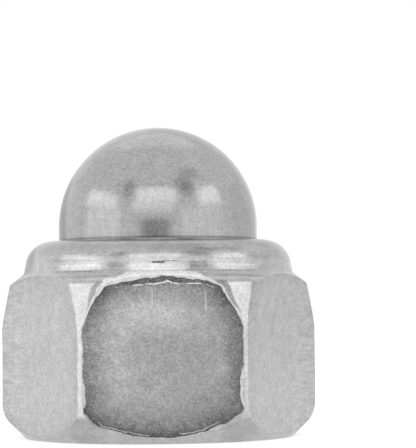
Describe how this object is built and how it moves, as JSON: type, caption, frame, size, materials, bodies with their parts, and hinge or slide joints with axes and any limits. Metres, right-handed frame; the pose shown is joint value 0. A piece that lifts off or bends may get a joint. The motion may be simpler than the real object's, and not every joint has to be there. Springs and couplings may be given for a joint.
{
  "type": "domed cap nut",
  "caption": "Hexagon domed cap nut with a plastic locking ring; closes and covers the end of a bolt and resists loosening.",
  "frame": {"origin": "centre of the bearing face, on the thread's axis", "axes": "+Z along the thread's axis from the bearing face to the top of the dome; two corners of the hexagon along X, two flats facing along Y"},
  "size_m": [0.0148, 0.013, 0.0146],
  "materials": {
    "body_steel": "satin, pickled stainless steel with rough scraped flats",
    "cap_steel": "satin, fine blasted grain on drawn stainless sheet",
    "ring_nylon": "natural white nylon"
  },
  "bodies": {
    "root": {"nut_body": "body_steel", "locking_ring": "ring_nylon", "dome_cap": "cap_steel"}
  },
  "joints": []
}
